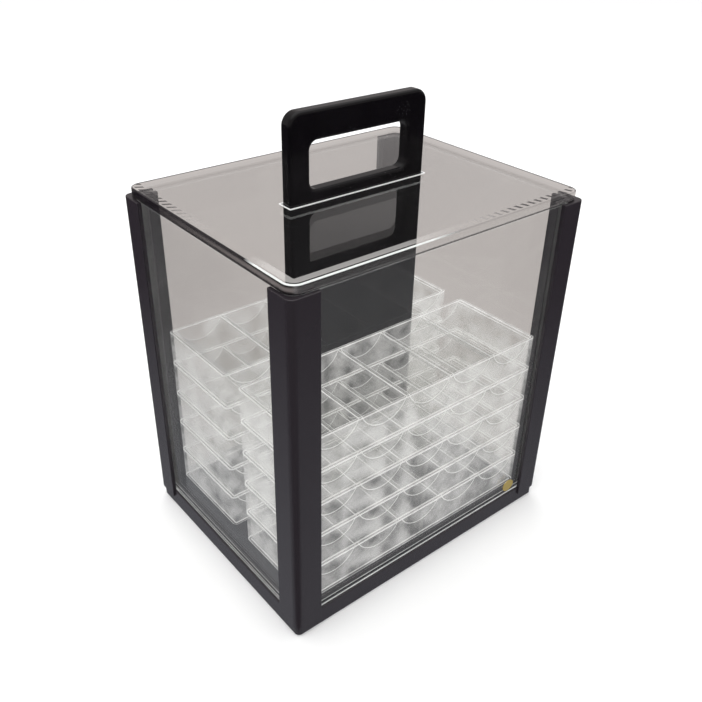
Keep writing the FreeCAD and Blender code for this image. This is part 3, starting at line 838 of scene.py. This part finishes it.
def add_walls(shape, sizes, half):
    """A rack's walls, all round, with rounded rims."""
    wall = sizes.rack_wall
    section = [at for at, out in quarter_turns(wall / 2, half.z, sizes.rack_edge, steps=3)]
    slots = []
    for here, there in zip(section, section[1:] + section[:1]):
        upright = abs(there.y - here.y) > half.z
        flat = abs(there.y - here.y) < TINY
        slots.append(FACE if upright else ARC if flat else EDGE)
    corner = sizes.rack_corner - wall / 2
    rings = []
    for point, out in quarter_turns(half.x - wall / 2, half.y - wall / 2, corner, steps=6):
        rings.append([point + out * at.x + Vector((0, 0, at.y)) for at in section])
    shape.add_sweep(rings, slots, closed=True)
    bend_x = half.x - sizes.rack_corner - TINY
    bend_y = half.y - sizes.rack_corner - TINY
    below_rim = half.z - 0.9 * sizes.rack_edge

    def in_corner(place):
        return abs(place[2]) < below_rim and abs(place[0]) > bend_x and abs(place[1]) > bend_y

    shape.reslot(0, in_corner, UPRIGHT)


def add_troughs(shape, sizes, half):
    """A rack's floor of half-round troughs, with a painted bright line where it meets a wall."""
    inside = half.x - sizes.rack_wall + SUNK
    profile, slots, lined = trough_profile(sizes, inside, half.z - SUNK)
    end = half.y - sizes.rack_wall + SUNK
    ends = (end, -end)
    rows = shape.add_sweep([[(x, y, z) for x, z in profile] for y in ends], slots, closed=False)
    for row, y in zip(rows, ends):
        line = shape.add_corners([(x, y, z) for x, z in lined])
        for i in range(len(line) - 1):
            shape.add_face((row[i], row[i + 1], line[i + 1], line[i]), EDGE)
        shape.add_face(line + row[len(line):], FACE)


def add_lugs(shape, sizes, half):
    """The four lugs inside a rack's end walls."""
    outer = half.x - sizes.rack_wall + SUNK
    inner = outer - sizes.lug_thick
    centre = half.y - sizes.lug_from_end
    near = centre - sizes.lug_width / 2
    far = centre + sizes.lug_width / 2
    foot = SUNK - half.z
    head = sizes.lug_rise - half.z
    for sx in (-1, 1):
        for sy in (-1, 1):
            x = sorted((sx * outer, sx * inner))
            y = sorted((sy * near, sy * far))
            shape.add_block((x[0], y[0], foot), (x[1], y[1], head), ARC)


def rack_mesh(sizes):
    """A clear rack about its own middle: walls all round, the trough floor and four lugs."""
    half = half_of(RACKS[0])
    shape = Shape()
    add_walls(shape, sizes, half)
    add_troughs(shape, sizes, half)
    add_lugs(shape, sizes, half)
    return shape.to_mesh("chip_rack", RACK_MATERIALS)


# ---------------------------------------------------------------- operators


class CHIPCASE_OT_materials(bpy.types.Operator):
    """Make the shared effects and the materials"""

    bl_idname = "chipcase.materials"
    bl_label = "Materials"

    def execute(self, context):
        colours = context.scene.chip_case_colours
        make_handling_marks()
        make_moulding_waviness()
        black_plastic("black_plastic", colours, shine=0.5)
        black_plastic("black_handle", colours, shine=0.25)
        clear_face("sheet_face", colours.sheet, mirror=0.04, haze=0.014)
        clear_face("lid_face", colours.sheet, mirror=0.04, haze=0.003)
        clear_face("rack_face", colours.rack, mirror=0.008, haze=0.002)
        clear_face("rack_trough", colours.rack, mirror=0.008, haze=0.003, streaks=0.05)
        # Pale edges, lines and lugs: painted highlights, some with a painted glow.
        painted_highlight_edge("sheet_edge", colours, low=0.7, high=1.0, scale=30.0, glow=0.12)
        painted_highlight_edge("sheet_top", colours, low=0.05, high=0.15, scale=30.0)
        painted_highlight_edge("rack_edge", colours, low=0.6, high=1.0, scale=60.0, glow=0.6)
        painted_highlight_edge("rack_arc", colours, low=0.07, high=0.16, scale=60.0, glow=0.6)
        painted_highlight_edge("rack_upright", colours, low=0.08, high=0.4, scale=60.0, glow=0.6)
        painted_highlight_edge("lid_slot", colours, low=0.95, high=1.0, scale=60.0, glow=0.2)
        lid_half = half_of("lid")
        lid_edge(colours, lid_half)
        lid_rim(colours, lid_half)
        lid_border(colours, lid_half, context.scene.chip_case_sizes)
        gold_foil(colours)
        zinc_steel()
        foot_rubber()
        return {"FINISHED"}


class CHIPCASE_OT_black_parts(bpy.types.Operator):
    """Finish the tray, the posts, the handle and the fittings under the tray"""

    bl_idname = "chipcase.black_parts"
    bl_label = "Black parts"

    def execute(self, context):
        for name in ["base_tray"] + POSTS:
            finish_node(name, "black_plastic")
        finish_node("handle_divider", "black_handle")
        for name in ("post_screws", "divider_screws"):
            finish_node(name, "zinc_steel")
        finish_node("rubber_feet", "foot_rubber")
        return {"FINISHED"}


class CHIPCASE_OT_clear_sheets(bpy.types.Operator):
    """Build the two sides and the two doors with polished edges"""

    bl_idname = "chipcase.clear_sheets"
    bl_label = "Clear sheets"

    def execute(self, context):
        sizes = context.scene.chip_case_sizes
        bodies = {"left_panel": "case", "right_panel": "case"}
        bodies.update({"front_door": "front_door", "rear_door": "rear_door"})
        for node, body in bodies.items():
            place_piece(node + "_sheet", sheet_mesh(node, sizes), node, body)
        return {"FINISHED"}


class CHIPCASE_OT_lid(bpy.types.Operator):
    """Build the clear lid"""

    bl_idname = "chipcase.lid"
    bl_label = "Lid"

    def execute(self, context):
        mesh = lid_mesh(context.scene.chip_case_sizes)
        place_piece("lid_cover", mesh, "lid", "lid")
        return {"FINISHED"}


class CHIPCASE_OT_racks(bpy.types.Operator):
    """Build the ten chip racks"""

    bl_idname = "chipcase.racks"
    bl_label = "Racks"

    def execute(self, context):
        mesh = rack_mesh(context.scene.chip_case_sizes)
        for node in RACKS:
            place_piece("chip_" + node, mesh, node, node)
        return {"FINISHED"}


class CHIPCASE_OT_seal(bpy.types.Operator):
    """Finish the plain gold seal on the front door"""

    bl_idname = "chipcase.seal"
    bl_label = "Seal"

    def execute(self, context):
        finish_node("gold_seal", "gold_foil")
        return {"FINISHED"}


def seen_through(tree):
    """1 for what the camera sees behind clear plastic and 0 for everything else, with
    the Light Path node."""
    path = tree.nodes.new("ShaderNodeLightPath")
    behind = maths(tree, "GREATER_THAN", path.outputs["Transparent Depth"], 0.5)
    return maths(tree, "MULTIPLY", behind, path.outputs["Is Camera Ray"]), path


def vector_maths(tree, operation, first, second=None):
    """A vector operation; a length or a dot product comes out as a number."""
    node = put(tree, "ShaderNodeVectorMath", operation=operation)
    tree.links.new(first, node.inputs[0])
    if second is not None:
        node.inputs[1].default_value = second
    return node.outputs["Value" if operation in ("LENGTH", "DOT_PRODUCT") else "Vector"]


def emit(tree, tone, strength=1.0):
    node = put(tree, "ShaderNodeEmission", Strength=strength)
    feed(tree, node.inputs["Color"], tone)
    return node


def pale_floor():
    """Plain and pale where it is seen; the grey of a room behind the clear sheets; and, as
    a painted reflection that only mirrored rays see, dark further off, darkest in a wedge
    off the front left corner."""
    material = bpy.data.materials.new("pale_floor")
    tree, output = new_tree(material, "ShaderNodeOutputMaterial")
    through, path = seen_through(tree)
    place = tree.nodes.new("ShaderNodeTexCoord").outputs["Object"]
    away = vector_maths(tree, "LENGTH", place)

    plain = tree.nodes.new("ShaderNodeAddShader")
    lit = put(tree, "ShaderNodeBsdfDiffuse", Color=(0.93, 0.93, 0.93, 1.0))
    tree.links.new(lit.outputs[0], plain.inputs[0])
    tree.links.new(emit(tree, (1.0, 1.0, 1.0), 0.06).outputs[0], plain.inputs[1])

    room = emit(tree, mix_colour(tree, ramp(tree, away, 0.2, 1.2), ROOM_NEAR, ROOM_FAR))

    # Painted reflection: tones that only mirrored rays see.
    tone = mix_colour(tree, ramp(tree, away, 0.16, 0.55), MIRRORED_NEAR, MIRRORED_FAR)
    corner = (CAD_BOX[0].x, CAD_BOX[0].y, 0.0)
    heading = vector_maths(tree, "NORMALIZE", vector_maths(tree, "SUBTRACT", place, corner))
    toward = vector_maths(tree, "DOT_PRODUCT", heading, DARK_REFLECTION_SIDE)
    mirrored = emit(tree, mix_colour(tree, ramp(tree, toward, 0.45, 0.85), tone, DARK_REFLECTION_TONE))

    shaded = blend_shaders(tree, through, plain, room)
    shaded = blend_shaders(tree, path.outputs["Is Glossy Ray"], shaded, mirrored)
    tree.links.new(shaded.outputs[0], output.inputs[0])
    return material


def add_floor():
    mesh = bpy.data.meshes.new("floor")
    signs = ((-1, -1), (1, -1), (1, 1), (-1, 1))
    corners = [Vector((x, y, 0)) * FLOOR_REACH for x, y in signs]
    mesh.from_pydata(corners, [], [(0, 1, 2, 3)])
    mesh.materials.append(pale_floor())
    floor = add_object("floor", mesh)
    floor.location.z = CAD_BOX[0].z - FLOOR_DROP


def add_world():
    """Soft white light all round; the case mirrors it grey, and bright overhead."""
    world = bpy.data.worlds.new("studio")
    tree, output = new_tree(world, "ShaderNodeOutputWorld")
    back = tree.nodes.new("ShaderNodeBackground")
    through, path = seen_through(tree)
    heading = tree.nodes.new("ShaderNodeSeparateXYZ")
    tree.links.new(tree.nodes.new("ShaderNodeTexCoord").outputs["Generated"], heading.inputs[0])
    overhead = ramp(tree, heading.outputs["Z"], 0.6, 0.95)
    mirrored = mix_colour(tree, overhead, (0.46, 0.43, 0.43), (1.6, 1.6, 1.6))
    soft = mix_colour(tree, path.outputs["Is Glossy Ray"], (1.0, 1.0, 1.0), mirrored)
    feed(tree, back.inputs["Color"], mix_colour(tree, through, soft, ROOM_FAR))
    tree.links.new(back.outputs[0], output.inputs[0])
    bpy.context.scene.world = world


def add_lamp(name, place, size, power):
    """A lamp with a flat face that shines at the middle of the case."""
    light = bpy.data.lights.new(name, "AREA")
    light.shape = "RECTANGLE"
    light.size, light.size_y = size
    light.energy = power
    lamp = add_object(name, light)
    lamp.location = place
    lamp.rotation_euler = (LAMP_TARGET - Vector(place)).to_track_quat("-Z", "Y").to_euler()
    lamp.visible_glossy = False


def add_camera():
    camera_data = bpy.data.cameras.new("camera")
    camera_data.lens = CAMERA_LENS
    camera_data.clip_start = 0.01
    camera_data.clip_end = 50.0
    camera = add_object("camera", camera_data)
    level = math.cos(CAMERA_DIP)
    ahead = (math.sin(CAMERA_TURN) * level, math.cos(CAMERA_TURN) * level, -math.sin(CAMERA_DIP))
    upright = Vector(ahead).to_track_quat("-Z", "Y").to_matrix().to_4x4()
    roll = Matrix.Rotation(CAMERA_ROLL, 4, "Z")
    camera.matrix_world = Matrix.Translation(CAMERA_PLACE) @ upright @ roll
    bpy.context.scene.camera = camera


class CHIPCASE_OT_stage(bpy.types.Operator):
    """Set the plain pale floor, the soft studio light and the camera"""

    bl_idname = "chipcase.stage"
    bl_label = "Stage"

    def execute(self, context):
        add_floor()
        add_world()
        add_lamp("key", place=(-0.5, -0.2, 1.5), size=(0.9, 0.9), power=7.0)
        add_lamp("back", place=(0.6, 1.1, 1.3), size=(1.2, 0.8), power=5.0)
        add_camera()
        scene = context.scene
        scene.view_settings.view_transform = "Standard"
        scene.cycles.transparent_max_bounces = CLEAR_LAYERS
        return {"FINISHED"}


STEPS = (
    CHIPCASE_OT_materials,
    CHIPCASE_OT_black_parts,
    CHIPCASE_OT_clear_sheets,
    CHIPCASE_OT_lid,
    CHIPCASE_OT_racks,
    CHIPCASE_OT_seal,
    CHIPCASE_OT_stage,
)


class CHIPCASE_PT_panel(bpy.types.Panel):
    """The chip case's steps and settings"""

    bl_idname = "CHIPCASE_PT_panel"
    bl_label = "Chip Case"
    bl_space_type = "VIEW_3D"
    bl_region_type = "UI"
    bl_category = "Chip Case"

    def draw(self, context):
        column = self.layout.column()
        for step in STEPS:
            column.operator(step.bl_idname)
        for settings in (context.scene.chip_case_sizes, context.scene.chip_case_colours):
            for name in settings.__annotations__:
                column.prop(settings, name)


CLASSES = (ChipCaseSizes, ChipCaseColours, CHIPCASE_PT_panel) + STEPS


def register():
    for item in CLASSES:
        bpy.utils.register_class(item)
    bpy.types.Scene.chip_case_sizes = PointerProperty(type=ChipCaseSizes)
    bpy.types.Scene.chip_case_colours = PointerProperty(type=ChipCaseColours)


def unregister():
    del bpy.types.Scene.chip_case_colours
    del bpy.types.Scene.chip_case_sizes
    for item in reversed(CLASSES):
        bpy.utils.unregister_class(item)


def main():
    register()
    for step in STEPS:
        group, name = step.bl_idname.split(".")
        getattr(getattr(bpy.ops, group), name)()


if __name__ == "__main__":
    main()
